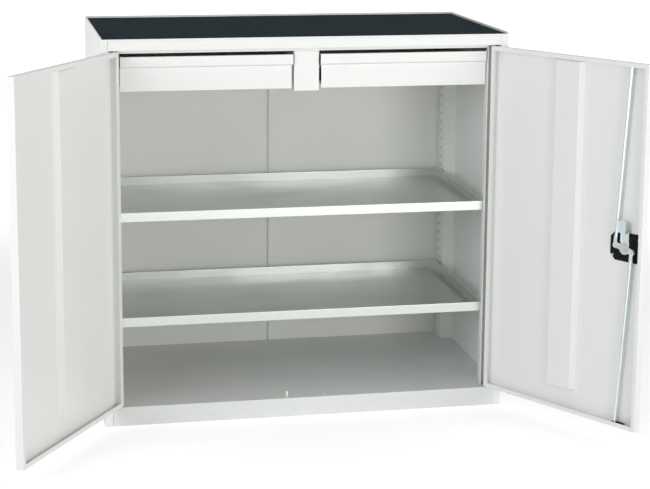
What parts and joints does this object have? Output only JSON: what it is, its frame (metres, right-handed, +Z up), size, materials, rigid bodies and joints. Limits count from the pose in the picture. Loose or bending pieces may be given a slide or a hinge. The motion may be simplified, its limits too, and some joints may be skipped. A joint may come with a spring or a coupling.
{
  "type": "drawer cabinet",
  "caption": "Sheet-steel cabinet with two hinged doors on pivot pins, a three-point rod lock, inner drawers on telescopic runners, adjustable shelves and a matted top tray.",
  "frame": {"origin": "on the floor, at the middle of the front plane of the plinth", "axes": "X to the right seen from the front, Y from the front to the back, Z up"},
  "size_m": [1.5161, 0.9763, 1],
  "materials": {
    "white_paint": "satin powder coat",
    "door_paint": "satin powder coat",
    "plinth_paint": "satin powder coat",
    "interior_paint": "satin powder coat",
    "zinc_sheet": "galvanised sheet",
    "zinc_part": "bright zinc plate",
    "runner_steel": "zinc plated steel",
    "mat_rubber": "fine-grained matt rubber",
    "black_plastic": "moulded",
    "white_plastic": "moulded",
    "chrome_part": "polished"
  },
  "bodies": {
    "cabinet": {"side_panel_left": "white_paint", "side_panel_right": "white_paint", "back_panel_left": "interior_paint", "back_panel_right": "interior_paint", "floor_panel": "plinth_paint", "header_rail": "white_paint", "tray_top": "white_paint", "rubber_mat": "mat_rubber", "drawer_partition": "white_paint", "upright_front_left": "interior_paint", "upright_front_right": "interior_paint", "upright_rear_left": "interior_paint", "upright_rear_right": "interior_paint", "runner_support_left": "interior_paint", "runner_support_right": "interior_paint", "lower_shelf": "zinc_sheet", "upper_shelf": "zinc_sheet", "lower_shelf_clips": "zinc_part", "upper_shelf_clips": "zinc_part", "left_door_bushes": "black_plastic", "right_door_bushes": "black_plastic", "door_stop_peg": "white_plastic", "runner_fixed_left_inner": "runner_steel", "runner_fixed_left_outer": "runner_steel", "runner_fixed_right_inner": "runner_steel", "runner_fixed_right_outer": "runner_steel"},
    "left_door": {"left_door_panel": "door_paint", "left_door_stiffener": "door_paint", "left_door_pins": "zinc_part"},
    "right_door": {"right_door_panel": "door_paint", "right_door_stiffener": "door_paint", "right_door_pins": "zinc_part", "lock_case": "black_plastic", "lock_escutcheon": "black_plastic", "lock_screws": "zinc_part", "upper_rod_guide": "black_plastic", "lower_rod_guide": "black_plastic"},
    "lock_rotor": {"lock_spindle": "zinc_part", "lock_cam": "zinc_part", "lock_tongue": "zinc_part", "spindle_nut": "zinc_part", "lock_handle": "black_plastic"},
    "key_plug": {"key_plug": "chrome_part"},
    "upper_rod": {"upper_rod": "zinc_part"},
    "lower_rod": {"lower_rod": "zinc_part"},
    "drawer_left": {"drawer_front_left": "white_paint", "drawer_box_left": "white_paint", "runner_drawer_left_inner": "runner_steel", "runner_drawer_left_outer": "runner_steel"},
    "runner_middle_left_inner": {"runner_middle_left_inner": "runner_steel"},
    "runner_middle_left_outer": {"runner_middle_left_outer": "runner_steel"},
    "drawer_right": {"drawer_front_right": "white_paint", "drawer_box_right": "white_paint", "runner_drawer_right_inner": "runner_steel", "runner_drawer_right_outer": "runner_steel"},
    "runner_middle_right_inner": {"runner_middle_right_inner": "runner_steel"},
    "runner_middle_right_outer": {"runner_middle_right_outer": "runner_steel"}
  },
  "joints": [
    {"name": "left_door_hinge", "type": "hinge", "parent": "cabinet", "child": "left_door", "pos_m": [-0.4958, 0.005, 0.5], "axis": [0, 0, -1], "range_deg": [-122, 0]},
    {"name": "right_door_hinge", "type": "hinge", "parent": "cabinet", "child": "right_door", "pos_m": [0.4958, 0.005, 0.5], "axis": [0, 0, 1], "range_deg": [-121, 1]},
    {"name": "lock_turn", "type": "hinge", "parent": "right_door", "child": "lock_rotor", "pos_m": [0.71556, -0.37044, 0.505], "axis": [-0.8572, -0.515, 0], "range_deg": [-90, 0]},
    {"name": "key_turn", "type": "hinge", "parent": "lock_rotor", "child": "key_plug", "pos_m": [0.74127, -0.35499, 0.505], "axis": [-0.8572, -0.515, 0], "range_deg": [-90, 0]},
    {"name": "upper_rod_pin", "type": "hinge", "parent": "lock_rotor", "child": "upper_rod", "pos_m": [0.69985, -0.35071, 0.511], "axis": [-0.8572, -0.515, 0], "range_deg": [0, 94]},
    {"name": "lower_rod_pin", "type": "hinge", "parent": "lock_rotor", "child": "lower_rod", "pos_m": [0.7256, -0.39357, 0.499], "axis": [-0.8572, -0.515, 0], "range_deg": [0, 96.15]},
    {"name": "drawer_left_slide", "type": "slide", "parent": "cabinet", "child": "drawer_left", "axis": [0, -1, 0], "range_m": [0, 0.4]},
    {"name": "runner_middle_left_inner_slide", "type": "slide", "parent": "cabinet", "child": "runner_middle_left_inner", "axis": [0, -1, 0], "range_m": [0, 0.2]},
    {"name": "runner_middle_left_outer_slide", "type": "slide", "parent": "cabinet", "child": "runner_middle_left_outer", "axis": [0, -1, 0], "range_m": [0, 0.2]},
    {"name": "drawer_right_slide", "type": "slide", "parent": "cabinet", "child": "drawer_right", "axis": [0, -1, 0], "range_m": [0, 0.4]},
    {"name": "runner_middle_right_inner_slide", "type": "slide", "parent": "cabinet", "child": "runner_middle_right_inner", "axis": [0, -1, 0], "range_m": [0, 0.2]},
    {"name": "runner_middle_right_outer_slide", "type": "slide", "parent": "cabinet", "child": "runner_middle_right_outer", "axis": [0, -1, 0], "range_m": [0, 0.2]}
  ],
  "couplings": [
    {"joint": "upper_rod_pin", "follows": "lock_turn", "ratio": -1.0442},
    {"joint": "lower_rod_pin", "follows": "lock_turn", "ratio": -1.0682},
    {"joint": "runner_middle_left_inner_slide", "follows": "drawer_left_slide", "ratio": 0.5},
    {"joint": "runner_middle_left_outer_slide", "follows": "drawer_left_slide", "ratio": 0.5},
    {"joint": "runner_middle_right_inner_slide", "follows": "drawer_right_slide", "ratio": 0.5},
    {"joint": "runner_middle_right_outer_slide", "follows": "drawer_right_slide", "ratio": 0.5}
  ]
}
